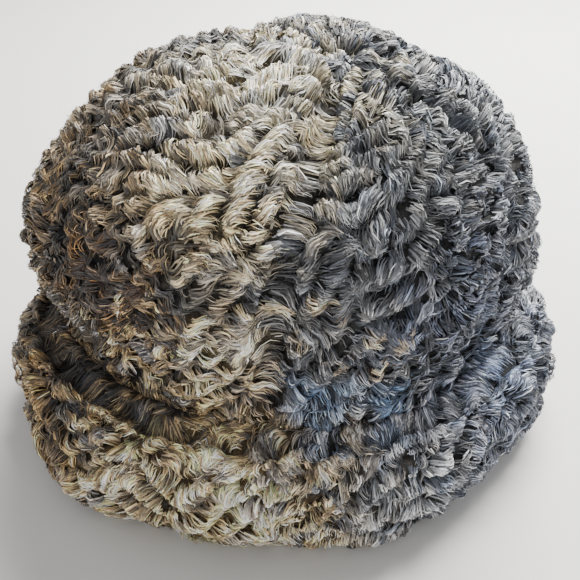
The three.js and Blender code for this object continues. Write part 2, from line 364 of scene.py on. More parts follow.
coatColours = {
    "root": (0.022, 0.022, 0.024),
    "dark": (0.10, 0.098, 0.10),
    "grey": (0.41, 0.40, 0.39),
    "silver": (0.95, 0.93, 0.89),
    "slate": (0.22, 0.27, 0.36),  # some locks are darker and bluer than what is round them, by these shares
    # painted cool cast of sky light in shaded hair
    "paintedCoolCast": (-0.15, -0.03, 0.15),
    "warmShift": (0.35, -0.05, -0.5),  # of slate locks, towards the left
    "rootToTip": (0.06, 1.25),  # how light a hair is at its root, and how much that grows to its tip
    # painted shade: how dark a hair is in a curl's hollow, and how much that grows to its crest
    "paintedHollowShade": (0.17, 0.98),
    # the pelt is near black, from dark roots and painted shade, darker in the curls' hollows
    "peltPaintedShade": (0.01, 0.035),
    "lockSeed": 90,
    "lockEdge": 0.28,  # how far a patch's edge runs from lock to lock
    "patches": [  # name, middle in mm, radius, colour, how much
        ("warmLeft", (-75, 0, 130), 90, (0.47, 0.39, 0.27), 0.85),
        ("creamTop", (-8, -33, 171), 35, (2.7, 2.2, 1.3), 0.95),
        ("creamSide", (-28, -76, 146), 29, (2.4, 1.85, 1.0), 0.97),
        ("tanLeft", (-106, -2, 108), 64, (0.46, 0.34, 0.20), 0.8),
        ("brownLeft", (-85, -45, 130), 43, (0.30, 0.185, 0.066), 0.95),
        # a darker brown patch of the coat, deepened by painted shade on the lower left
        ("brownAndPaintedShadeLowLeft", (-64, -81, 101), 46, (0.072, 0.028, 0.005), 0.97),
        ("paleTuft", (-22, -93, 94), 16, (2.7, 2.1, 1.25), 0.97),
        ("darkRight", (40, -62, 155), 36, (0.23, 0.22, 0.19), 0.8),
        ("slateLow", (70, -74, 100), 46, (0.10, 0.12, 0.185), 0.9),
        ("greyMiddle", (0, -90, 122), 22, (0.29, 0.28, 0.27), 0.65),
        ("greyRight", (92, -26, 118), 34, (0.66, 0.63, 0.58), 0.6),
        # painted sky light, a blue reflection in the crease on the right side
        ("paintedSkyLightSide", (88, -58, 54), 12, (0.5, 0.75, 1.2), 0.7),
        ("tanBrim", (-126, -8, 30), 58, (0.52, 0.39, 0.23), 0.8),
        ("brownBrim", (-100, -65, 35), 42, (0.60, 0.365, 0.125), 0.9),
        ("oliveBrim", (-30, -116, 30), 56, (3.8, 2.6, 1.2), 0.97),
        ("greyBrim", (44, -104, 36), 24, (1.35, 1.25, 1.1), 0.9),
        ("coolBrim", (98, -66, 40), 42, (0.36, 0.38, 0.46), 0.75),
        # painted sky light, a blue reflection in the crease at the front
        ("paintedSkyLightFoot", (2, -89, 75), 12, (0.34, 0.62, 1.05), 0.78),
        ("paintedSkyLightMiddle", (19, -88, 72), 12, (0.32, 0.58, 0.98), 0.78),
        ("paintedSkyLightRight", (38, -84, 62), 11, (0.30, 0.54, 0.90), 0.78),
        ("paintedSkyLightLip", (12, -91, 57), 9, (0.30, 0.58, 0.96), 0.78),
    ],
}


def coatColour(points, rng):
    # the coat's colour at a place, with patches of painted shade and painted sky light, before hairs, roots and
    # tips
    mottle = 0.5 + 0.5 * np.tanh(0.9 * softNoise(points, 38, rng, 14))
    colour = np.array(coatColours["grey"]) * (0.72 + 0.62 * mottle)[:, None]
    locks = softNoise(points, 13, np.random.default_rng(coatColours["lockSeed"]), 24)
    for _, middle, radius, tint, much in coatColours["patches"]:
        far = np.linalg.norm(points - np.array(middle), axis=1) / radius
        edge = 0.3 * (mottle - 0.5) + coatColours["lockEdge"] * locks * min(radius / 30, 1)
        share = much * np.clip(1.42 - far + edge, 0, 1)
        share = np.clip(share, 0, 1)[:, None]
        colour = colour * (1 - share) + np.array(tint) * (0.75 + 0.5 * mottle)[:, None] * share
    return colour


# Hairs

furForm = {
    "seed": 21,
    "tuftArea": 6.95,
    "tuftWidth": 1.3,
    "hairs": 4,
    "hairWidth": 0.6,
    "tipShare": 0.08,
    "slant": 52,
    "bend": 38,
    "longest": 18,
    "shortest": 8,
    "steps": 8,
    "points": 5,
    "lift": 0.8,
    "strays": 0.05,
    "bridging": 0.3,  # the share of tufts that run on over a hollow
    "filling": 0.2,  # more tufts, where the others leave the pelt bare
    "onFalls": 0.32,  # how many tufts start where a curl falls, beside those where it rises
    "begins": 0.18,  # shares of the tuft's length within which its hairs begin and end
    "ends": (0.68, 1.04),
    "gathers": 0.74,  # how far a tuft narrows towards its end
    "lockWave": 0.55,
    "roll": 38,  # degrees by which the outer hairs of a tuft turn their faces outwards
    "layers": 0.9,  # how far the tufts lie over one another
    "widths": (0.75, 1.25),  # shares of hairWidth
    "strayLift": (0.8, 3),
    "strayWidth": 0.35,
    "fillerWidth": 1.6,
    "paleWidth": 0.75,
    "lightSpread": 0.34,  # from tuft to tuft and from hair to hair
    "darkShare": 0.24,
    "paleFrom": 0.82,
    "peltUnder": 1.1,  # the pelt lies this far under the hairs' roots
}


def tuftStarts(curls, wraps, share, count, eager, rng):
    # most tufts stand where a curl rises
    columns = share.shape[1]
    drawn = rng.choice(share.size, count * 3, p=(share / share.sum()).ravel())
    row = drawn // columns + rng.uniform(-0.5, 0.5, len(drawn))
    column = drawn % columns + rng.uniform(-0.5, 0.5, len(drawn))
    phase = np.angle(sample(curls["field"], row, column, wraps))
    keep = rng.random(len(drawn)) < np.clip(1.1 - 1.1 * (phase + 0.4) / 2.6, eager, 1)
    return row[keep][:count], column[keep][:count]


def walkTufts(grid, curls, wraps, row, column, bridging, rng, noiseSeed):
    # each tuft runs down the coat from its start, and stops in the next hollow unless it bridges it
    count, steps = len(row), furForm["steps"]
    noise = np.random.default_rng(noiseSeed)

    def at(field):
        return sample(field, row, column, wraps)

    start = at(grid)
    slant = np.tanh(1.6 * softNoise(start, 60, noise)) * furForm["slant"]
    slant = slant + 12 * softNoise(start, 11, noise, 24) + rng.normal(0, 5, count)
    bend = furForm["bend"] * softNoise(start, 15, noise, 24)
    sweep = at(curls["sweep"])
    slant = slant * (1 - np.abs(sweep)) + 80 * sweep
    bend = bend * (1 - np.abs(sweep))
    phase = np.angle(at(curls["field"]))
    length = (2.5 - phase) / (2 * np.pi) * curlForm["wave"] * 2
    length = np.clip(length, furForm["shortest"], furForm["longest"])
    length = length * rng.uniform(0.85, 1.15, count)
    path, normals, heights, phases, cells = [], [], [], [], []
    for n in range(steps + 1):
        phase = np.angle(at(curls["field"]))
        normal = unit(at(curls["normal"]))
        path.append(at(grid))
        normals.append(normal)
        heights.append(at(curls["height"]))
        phases.append(phase)
        cells.append((row, column))
        heading = unit(at(curls["heading"]))
        turn = np.radians(slant * (1.4 - 1.5 * n / steps * (1 - np.abs(sweep))) + bend * n / steps)
        across = np.cross(normal, heading)
        way = heading * np.cos(turn)[:, None] + across * np.sin(turn)[:, None]
        pace = length / steps * np.where((phase > 2.4) & (n > 2) & ~bridging, 0.25, 1)
        pace = pace * np.clip(at(curls["seamFar"]) / 1.6, 0.5, 1)
        move = way * pace[:, None]
        up = at(curls["up"])
        beside = at(curls["round"])
        uu, rr, ur = (up * up).sum(1), (beside * beside).sum(1), (up * beside).sum(1)
        mu, mr = (move * up).sum(1), (move * beside).sum(1)
        det = np.maximum(uu * rr - ur ** 2, 1e-6)
        row = row + np.clip((mu * rr - mr * ur) / det, -8, 8)
        column = column + np.clip((mr * uu - mu * ur) / det, -8, 8)
    return [np.stack(v, 1) for v in (path, normals, heights, phases)] + [cells]


def bareness(shape, cells, area, wraps):
    # 1 where no tuft passes, 0 where they are as thick as usual
    rows, columns = shape
    passes = np.zeros(shape)
    for row, column in cells:
        i = np.clip(np.round(row), 0, rows - 1).astype(int)
        j = np.round(column).astype(int)
        j = j % columns if wraps else np.clip(j, 0, columns - 1)
        np.add.at(passes, (i, j), 1)
    room = area.copy()
    for axis in (0, 1):
        for _ in range(2):
            passes = passes + np.roll(passes, 1, axis) + np.roll(passes, -1, axis)
            room = room + np.roll(room, 1, axis) + np.roll(room, -1, axis)
    thick = passes / np.maximum(room, 1e-6)
    return np.clip(1 - thick / (0.6 * np.median(thick)), 0, 1)


def plantTufts(grid, curls, wraps, share, rng, noiseSeed):
    # the tufts' places, which of them bridge a hollow, and which fill the places that the first ones leave bare
    count = int(share.sum() / furForm["tuftArea"])
    row, column = tuftStarts(curls, wraps, share, count, furForm["onFalls"], rng)
    bridging = rng.random(len(row)) < furForm["bridging"]
    cells = walkTufts(grid, curls, wraps, row, column, bridging, rng, noiseSeed)[-1]
    bare = share * bareness(share.shape, cells, curls["area"], wraps)
    moreRows, moreColumns = tuftStarts(curls, wraps, bare, int(count * furForm["filling"]), 1, rng)
    moreRows = moreRows + rng.uniform(0, 4, len(moreRows))  # a little above the bare place
    filler = np.arange(len(row) + len(moreRows)) >= len(row)
    bridging = np.concatenate([bridging, np.ones(len(moreRows), bool)])
    return np.concatenate([row, moreRows]), np.concatenate([column, moreColumns]), bridging, filler


def hairColours(start, tuft, share, shade, hidden, rng, coatSeed):
    # from root to tip, by the coat's patches, its locks and each hair's own kind, darkened by painted shade in
    # the curls' hollows, along the seams and in the crease
    count, total = len(start), len(tuft)
    colourRng = np.random.default_rng(coatSeed)
    own = coatColour(start, colourRng)
    slate = np.clip(1.2 * (softNoise(start, 12, colourRng, 24) - 0.35), 0, 0.8)[:, None]
    warm = np.clip(0.2 - start[:, :1] / 70, 0, 1) * np.array(coatColours["warmShift"])
    own = own * (1 - slate) + own.mean(1, keepdims=True) * np.array(coatColours["slate"]) * (1 + warm) * slate
    own = own[tuft]
    light = rng.normal(0.05, furForm["lightSpread"], count) + 0.2 * softNoise(start, 9, colourRng, 24)
    light = np.exp(light)[tuft] * np.exp(rng.normal(0, furForm["lightSpread"], total))
    kind = rng.random(total)
    dark, silver, root = (np.array(coatColours[k]) for k in ("dark", "silver", "root"))
    own = np.where((kind < furForm["darkShare"])[:, None], dark * (0.12 + 2.7 * own), own)
    own = np.clip(own, 0.003, 3)
    middle = own.mean(1, keepdims=True)
    paler = silver * (own / middle) ** 0.75 * np.clip(middle / 0.4, 0, 1.6) ** 0.5
    isPale = kind > furForm["paleFrom"]
    own = np.where(isPale[:, None], 0.3 * own + 0.7 * paler, own)
    (atRoot, toTip), (inHollow, toCrest) = coatColours["rootToTip"], coatColours["paintedHollowShade"]
    # the tone is the hair's own darker root and lighter tip, times painted shade in the curls' hollows, then
    # painted shade along seams and in the crease
    tone = np.clip(atRoot + toTip * share ** 0.9, 0, 1.15) * (inHollow + toCrest * shade)
    tone = tone * (1 - hidden)
    colour = own[:, None, :] * light[:, None, None]
    colour = root + (colour - root) * tone[..., None]
    # painted cool cast of sky light where the hairs are shaded, more towards the right and more in some locks
    # than others
    cool = np.clip(0.4 + start[:, 0] / 120 + 0.45 * softNoise(start, 13, colourRng, 24), 0, 1)[tuft][:, None]
    cool = cool * np.clip(1.2 - tone, 0, 1)
    colour = colour * (1 + np.array(coatColours["paintedCoolCast"]) * cool[..., None])
    return np.clip(colour, 0.004, 0.92), isPale


def growFur(grid, curls, wraps, seedArea, rng, coatSeed, floor=None):
    noiseSeed = coatSeed + 5
    row, column, bridging, filler = plantTufts(grid, curls, wraps, curls["area"] * seedArea, rng, noiseSeed)
    start = sample(grid, row, column, wraps)
    path, normals, heights, phases, _ = walkTufts(grid, curls, wraps, row, column, bridging, rng, noiseSeed)

    # each hair keeps its own side of the tuft, from a little below its start to a little before its end
    count, steps, hairs, points = len(row), furForm["steps"], furForm["hairs"], furForm["points"]
    total = count * hairs
    tuft = np.repeat(np.arange(count), hairs)
    spread = np.tile(np.linspace(-1, 1, hairs), count) + rng.uniform(-0.25, 0.25, total)
    begin = rng.uniform(0, furForm["begins"], total)
    finish = rng.uniform(*furForm["ends"], total)
    share = begin[:, None] + (finish - begin)[:, None] * np.linspace(0, 1, points)[None, :]
    share = np.minimum(share, 1)
    place = share * steps
    low = np.minimum(place.astype(int), steps - 1)
    part = (place - low)[..., None]

    def pick(values):
        return values[tuft[:, None], low] * (1 - part) + values[tuft[:, None], low + 1] * part

    base = pick(path)
    normal = unit(pick(normals))
    height = pick(heights[..., None])[..., 0]
    shade = pick(np.stack([np.cos(phases), np.sin(phases)], -1))
    shade = crest(np.arctan2(shade[..., 1], shade[..., 0]))
    side = unit(np.cross(unit(np.gradient(base, axis=1)), normal))
    close = 1 - furForm["gathers"] * share ** 2
    lockPhase = 2.5 * softNoise(start, 16, np.random.default_rng(coatSeed + 8), 24)[tuft]
    lockPhase = lockPhase + rng.normal(0, 0.5, total)
    wobble = furForm["lockWave"] * np.sin(share * 6 + lockPhase[:, None]) + rng.normal(0, 0.12, (total, points))
    offset = furForm["tuftWidth"] * (spread[:, None] * close) + wobble

    # tufts lie in layers, arch between root and tip, and a few hairs stand off
    layer = rng.uniform(0, furForm["layers"], count)[tuft] + rng.uniform(0, 0.35, total)
    lift = furForm["lift"] * np.sin(np.pi * np.clip(share, 0, 1)) ** 0.8 + layer[:, None] * (1 - share ** 3)
    lift = lift - 0.45 * spread[:, None] ** 2 * close
    stray = rng.random(total) < furForm["strays"]
    lift = lift + (stray * rng.uniform(*furForm["strayLift"], total))[:, None] * share ** 1.2
    body = base + side * offset[..., None] + normal * (height + lift)[..., None]
    if floor is not None:
        body[..., 2] = np.maximum(body[..., 2], floor + 0.6 + rng.uniform(0, 0.8, total)[:, None])

    tangent = unit(np.gradient(body, axis=1))
    face = unit(np.cross(np.cross(tangent, normal), tangent))
    roll = np.radians(furForm["roll"] * spread + rng.normal(0, 16, total))[:, None, None]
    face = face * np.cos(roll) + np.cross(tangent, face) * np.sin(roll)

    hidden = sample(curls["hidden"], row, column, wraps)[tuft][:, None]
    colour, isPale = hairColours(start, tuft, share, shade, hidden, rng, coatSeed)
    wide = rng.uniform(*furForm["widths"], total) * np.where(stray, furForm["strayWidth"], 1)
    wide = wide * np.where(filler[tuft], furForm["fillerWidth"], 1) * np.where(isPale, furForm["paleWidth"], 1)
    return {"points": body, "face": face, "colour": colour, "wide": wide, "seed": rng.random(total)}


def makeMesh(name, points, faces):
    mesh = bpy.data.meshes.new(name)
    mesh.vertices.add(len(points))
    mesh.vertices.foreach_set("co", (np.asarray(points) * metre).astype(np.float32).ravel())
    corners = np.concatenate([np.asarray(f).ravel() for f in faces])
    sizes = np.concatenate([np.full(len(f), np.asarray(f).shape[1]) for f in faces])
    mesh.loops.add(len(corners))
    mesh.loops.foreach_set("vertex_index", corners.astype(np.int32))
    mesh.polygons.add(len(sizes))
    mesh.polygons.foreach_set("loop_start", np.concatenate([[0], np.cumsum(sizes)[:-1]]).astype(np.int32))
    mesh.update(calc_edges=True)
    mesh.validate()
    return mesh


def addObject(name, mesh):
    piece = bpy.data.objects.new(name, mesh)
    bpy.context.scene.collection.objects.link(piece)
    return piece


def setColours(mesh, colours):
    layer = mesh.attributes.new("coat", "FLOAT_COLOR", "POINT")
    rgba = np.ones((len(colours), 4), np.float32)
    rgba[:, :3] = colours
    layer.data.foreach_set("color", rgba.ravel())


# Materials

def addNode(tree, kind, inputs, **settings):
    # each input is a value, or another node's output to link from
    node = tree.nodes.new(kind)
    for label, value in settings.items():
        setattr(node, label, value)
    for place, value in inputs.items():
        if isinstance(value, bpy.types.NodeSocket):
            tree.links.new(value, node.inputs[place])
        else:
            node.inputs[place].default_value = value
    return node


def buildFibreGroup():
    # light and dark streaks at a place that the material gives
    group = bpy.data.node_groups.new("fibreStreaks", "ShaderNodeTree")
    for way, label, kind in (
            ("INPUT", "Place", "Vector"), ("INPUT", "Colour", "Color"), ("INPUT", "Streak Depth", "Float"),
            ("INPUT", "Roughness", "Float"), ("OUTPUT", "Colour", "Color"), ("OUTPUT", "Roughness", "Float"),
            ("OUTPUT", "Height", "Float")):
        group.interface.new_socket(label, in_out=way, socket_type="NodeSocket" + kind)
    given = group.nodes.new("NodeGroupInput").outputs
    noise = addNode(group, "ShaderNodeTexNoise", {"Scale": 1, "Detail": 2, "Vector": given["Place"]})
    noise = noise.outputs["Fac"]
    wider = addNode(group, "ShaderNodeMapRange", {
        "Value": noise, "From Min": 0.3, "From Max": 0.7, "To Min": -0.5, "To Max": 0.5})
    light = addNode(group, "ShaderNodeMath", {
        0: wider.outputs["Result"], 1: given["Streak Depth"], 2: 1}, operation="MULTIPLY_ADD")
    scaled = addNode(group, "ShaderNodeVectorMath", {
        0: given["Colour"], "Scale": light.outputs[0]}, operation="SCALE")
    rough = addNode(group, "ShaderNodeMath", {
        0: noise, 1: 0.12, 2: given["Roughness"]}, operation="MULTIPLY_ADD")
    addNode(group, "NodeGroupOutput", {
        "Colour": scaled.outputs[0], "Roughness": rough.outputs[0], "Height": noise})
    return group


def coatMaterial(name, group, depth, roughness, sheen):
    material = bpy.data.materials.new(name)
    material.use_nodes = True
    tree = material.node_tree
    shader = tree.nodes["Principled BSDF"]
    colour = addNode(tree, "ShaderNodeAttribute", {}, attribute_name="coat")
    streaks = addNode(tree, "ShaderNodeGroup", {
        "Streak Depth": depth, "Roughness": roughness, "Colour": colour.outputs["Color"]}, node_tree=group)
    tree.links.new(streaks.outputs["Colour"], shader.inputs["Base Color"])
    tree.links.new(streaks.outputs["Roughness"], shader.inputs["Roughness"])
    shader.inputs["Sheen Weight"].default_value = sheen
    shader.inputs["Sheen Roughness"].default_value = 0.4
    return material, tree, streaks


def hairCoat(name, group, depth, roughness, fineness):
    # the streaks follow each hair, whose own seed sets them apart from the next one's
    material, tree, streaks = coatMaterial(name, group, depth, roughness, 0)
    place = {}
    for label, size, axis in (("across", fineness, "X"), ("along", 1.2, "Y"), ("seed", 400.0, "Z")):
        told = addNode(tree, "ShaderNodeAttribute", {}, attribute_name=label)
        sized = addNode(tree, "ShaderNodeMath", {0: told.outputs["Fac"], 1: size}, operation="MULTIPLY")
        place[axis] = sized.outputs[0]
    tree.links.new(addNode(tree, "ShaderNodeCombineXYZ", place).outputs[0], streaks.inputs["Place"])
    return material


def skinCoat(name, group, size, depth, roughness, bump, sheen):
    material, tree, streaks = coatMaterial(name, group, depth, roughness, sheen)
    place = tree.nodes.new("ShaderNodeTexCoord").outputs["Object"]
    sized = addNode(tree, "ShaderNodeVectorMath", {0: place, "Scale": size}, operation="SCALE")
    tree.links.new(sized.outputs[0], streaks.inputs["Place"])
    relief = addNode(tree, "ShaderNodeBump", {
        "Strength": 0.6, "Distance": bump, "Height": streaks.outputs["Height"]})
    tree.links.new(relief.outputs["Normal"], tree.nodes["Principled BSDF"].inputs["Normal"])
    return material


finishes = {
    "hair": {"depth": 1.3, "roughness": 0.42, "fineness": 1.7},
    "pelt": {"size": 1400, "depth": 1.2, "roughness": 0.75, "bump": 0.0006, "sheen": 0},
    "hide": {"size": 900, "depth": 0.3, "roughness": 0.8, "bump": 0.0003, "sheen": 0.3},
}

fibreGroup = buildFibreGroup()
hairMaterial = hairCoat("karakulHair", fibreGroup, **finishes["hair"])
peltMaterial = skinCoat("karakulPelt", fibreGroup, **finishes["pelt"])
hideMaterial = skinCoat("hide", fibreGroup, **finishes["hide"])
print("materials made")


def buildHairTree():
    # turns lines into flat, tapering hairs
    tree = bpy.data.node_groups.new("furHairs", "GeometryNodeTree")
    face = tree.interface
    face.new_socket("Geometry", in_out="INPUT", socket_type="NodeSocketGeometry")
    sockets = {
        "width": face.new_socket("Hair Width", in_out="INPUT", socket_type="NodeSocketFloat"),
        "tip": face.new_socket("Tip Share", in_out="INPUT", socket_type="NodeSocketFloat"),
        "material": face.new_socket("Fur Material", in_out="INPUT", socket_type="NodeSocketMaterial"),
    }
    face.new_socket("Geometry", in_out="OUTPUT", socket_type="NodeSocketGeometry")
    given = tree.nodes.new("NodeGroupInput").outputs
    lines = addNode(tree, "GeometryNodeMeshToCurve", {"Mesh": given["Geometry"]})
    facing = addNode(tree, "GeometryNodeInputNamedAttribute", {"Name": "face"}, data_type="FLOAT_VECTOR")
    turned = addNode(tree, "GeometryNodeSetCurveNormal", {
        "Curve": lines.outputs["Curve"], "Normal": facing.outputs["Attribute"]}, mode="FREE")
    wide = addNode(tree, "GeometryNodeInputNamedAttribute", {"Name": "wide"}, data_type="FLOAT")
    along = tree.nodes.new("GeometryNodeSplineParameter")
    bent = addNode(tree, "ShaderNodeMath", {0: along.outputs["Factor"], 1: 1.8}, operation="POWER")
    taper = addNode(tree, "ShaderNodeMapRange", {
        "Value": bent.outputs[0], "To Min": 1, "To Max": given["Tip Share"]})
    width = given["Hair Width"]
    for share in (wide.outputs["Attribute"], taper.outputs["Result"]):
        width = addNode(tree, "ShaderNodeMath", {0: width, 1: share}, operation="MULTIPLY").outputs[0]
    flat = addNode(tree, "GeometryNodeCurvePrimitiveLine", {"Start": (0, -0.5, 0), "End": (0, 0.5, 0)})
    marked = []
    for label, curve in (("along", turned), ("across", flat)):
        share = tree.nodes.new("GeometryNodeSplineParameter")
        mark = addNode(tree, "GeometryNodeStoreNamedAttribute", {
            "Name": label, "Geometry": curve.outputs["Curve"], "Value": share.outputs["Factor"],
        }, data_type="FLOAT", domain="POINT")
        marked.append(mark.outputs["Geometry"])
    swept = addNode(tree, "GeometryNodeCurveToMesh", {
        "Curve": marked[0], "Profile Curve": marked[1], "Scale": width})
    smooth = addNode(tree, "GeometryNodeSetShadeSmooth", {"Geometry": swept.outputs["Mesh"]})
    real = addNode(tree, "GeometryNodeRealizeInstances", {"Geometry": smooth.outputs["Geometry"]})
    covered = addNode(tree, "GeometryNodeSetMaterial", {
        "Geometry": real.outputs["Geometry"], "Material": given["Fur Material"]})
    addNode(tree, "NodeGroupOutput", {"Geometry": covered.outputs["Geometry"]})
    return tree, sockets


hairTree, hairSockets = buildHairTree()


def makeFur(name, fur, chosen):
    fur = {k: v[chosen] for k, v in fur.items()}
    points, face, colour = fur["points"], fur["face"], fur["colour"]
    count, each = points.shape[:2]
    mesh = bpy.data.meshes.new(name + "Lines")
    mesh.vertices.add(count * each)
    mesh.vertices.foreach_set("co", (points * metre).astype(np.float32).ravel())
    first = (np.arange(count)[:, None] * each + np.arange(each - 1)[None, :]).ravel()
    mesh.edges.add(len(first))
    mesh.edges.foreach_set("vertices", np.stack([first, first + 1], 1).astype(np.int32).ravel())
    layer = mesh.attributes.new("face", "FLOAT_VECTOR", "POINT")
    layer.data.foreach_set("vector", face.astype(np.float32).ravel())
    for label in ("wide", "seed"):
        layer = mesh.attributes.new(label, "FLOAT", "POINT")
        layer.data.foreach_set("value", np.repeat(fur[label], each).astype(np.float32))
    setColours(mesh, colour.reshape(-1, 3))
    lines = addObject(name + "Lines", mesh)
    growth = lines.modifiers.new("hairs", "NODES")
    growth.node_group = hairTree
    growth[hairSockets["width"].identifier] = furForm["hairWidth"] * metre
    growth[hairSockets["tip"].identifier] = furForm["tipShare"]
    growth[hairSockets["material"].identifier] = hairMaterial
    depsgraph = bpy.context.evaluated_depsgraph_get()
    grown = bpy.data.meshes.new_from_object(lines.evaluated_get(depsgraph), preserve_all_data_layers=True,
                                            depsgraph=depsgraph)
    grown.name = name
    for label in ("face", "wide"):
        if label in grown.attributes:
            grown.attributes.remove(grown.attributes[label])
    bpy.data.objects.remove(lines)
    bpy.data.meshes.remove(mesh)
    piece = addObject(name, grown)
    print("made", name, "with", count, "hairs,", sum(len(p.vertices) - 2 for p in grown.polygons), "triangles")
    return piece


# Pelts

def gridFaces(rows, columns, wraps=False):
    i = np.arange(rows - 1)[:, None]
    j = np.arange(columns if wraps else columns - 1)[None, :]
    k = (j + 1) % columns
    quads = np.stack(np.broadcast_arrays(i * columns + j, i * columns + k, (i + 1) * columns + k,
                                         (i + 1) * columns + j), -1)
    return quads.reshape(-1, 4)


def border(rows, columns):
    index = np.arange(rows * columns).reshape(rows, columns)
    return np.concatenate([index[0, :-1], index[:-1, -1], index[-1, :0:-1], index[:0:-1, 0]])


def closedShell(outer, inner, ratio):
    # an outer grid and a coarser inner one, joined round their borders
    outerRows, outerColumns = outer.shape[:2]
    innerRows, innerColumns = inner.shape[:2]
    first = outerRows * outerColumns
    outerBorder, innerBorder = border(outerRows, outerColumns), border(innerRows, innerColumns) + first
    faces = [gridFaces(outerRows, outerColumns), gridFaces(innerRows, innerColumns)[:, ::-1] + first]
    joins = []
    for n in range(len(innerBorder)):
        for m in range(ratio):
            a, b = outerBorder[n * ratio + m], outerBorder[(n * ratio + m + 1) % len(outerBorder)]
            joins.append((b, a, innerBorder[n]))
        joins.append((b, innerBorder[n], innerBorder[(n + 1) % len(innerBorder)]))
    faces.append(np.array(joins))
    return np.concatenate([outer.reshape(-1, 3), inner.reshape(-1, 3)]), faces


def faceOutwards(mesh):
    points = np.empty(len(mesh.vertices) * 3, np.float32)
    mesh.vertices.foreach_get("co", points)
    points = points.reshape(-1, 3).astype(float)
    mesh.calc_loop_triangles()
    corners = np.empty(len(mesh.loop_triangles) * 3, np.int32)
    mesh.loop_triangles.foreach_get("vertices", corners)
    a, b, c = (points[corners.reshape(-1, 3)[:, k]] for k in range(3))
    if (a * np.cross(b, c)).sum() < 0:
        mesh.flip_normals()


def peltColour(points, shade, coatSeed):
    own = coatColour(points, np.random.default_rng(coatSeed))
    # dark roots and painted shade: the pelt is near black, darker still in the curls' hollows
    inHollow, toCrest = coatColours["peltPaintedShade"]
    return np.clip(own * (inHollow + toCrest * shade)[:, None], 0.004, 0.9)


def steadyHeight(curls, shade):
    # how high the curls stand; calm where the waves cancel out
    steady = np.clip(curls["strength"] * 2.2, 0, 1)
    return curlForm["relief"] * (steady * shade + (1 - steady) * curlForm["calm"])


def addPelt(name, points, faces, colours, hideFaces):
    mesh = makeMesh(name, points, faces)
    faceOutwards(mesh)
    mesh.polygons.foreach_set("use_smooth", np.ones(len(mesh.polygons), bool))
    setColours(mesh, colours)
    mesh.materials.append(peltMaterial)
    mesh.materials.append(hideMaterial)
    isHide = np.zeros(len(mesh.polygons), np.int32)
    isHide[hideFaces] = 1
    mesh.polygons.foreach_set("material_index", isHide)
    return addObject(name, mesh)


coat = {
    "hide": np.array((0.42, 0.36, 0.29)),
    "seed": 11,  # for the colours
    "lieSeed": 3,  # for the way that the coat leans; the same on all pieces, so that it runs on over the seams
    "creaseShade": 0.19,  # how much painted shade darkens the hairs in the crease, for each mm of its depth
    "mostShade": 0.9,
}

crown = {
    "rows": 225,
    "pastSeam": 5,  # columns of the grid beyond each seam
    "peltRows": 2,  # the pelt takes every second row and fourth column of the grid, the hide half as many
    "peltColumns": 4,
    "apexReach": 14,
    "apexMore": 1.2,  # more tufts at the apex
    "seamFade": 16,  # height over the crease in which a seam grows to its full depth
    "seamHalf": 3,  # how far from a seam the curls lie closer
    "seamSunk": 1.2,
    "seamShade": 0.5,
    "hideUnder": 0.2,  # past the inside of the solid's wall
    "hideRidge": 2.7,  # the hide is thicker along its seams
    "ridgeReach": 8,
    "combedAt": (-58, 26, 12),  # direction, reach and height of the hairs that run along the crease
    "mostHairs": 24000,  # in one piece
}

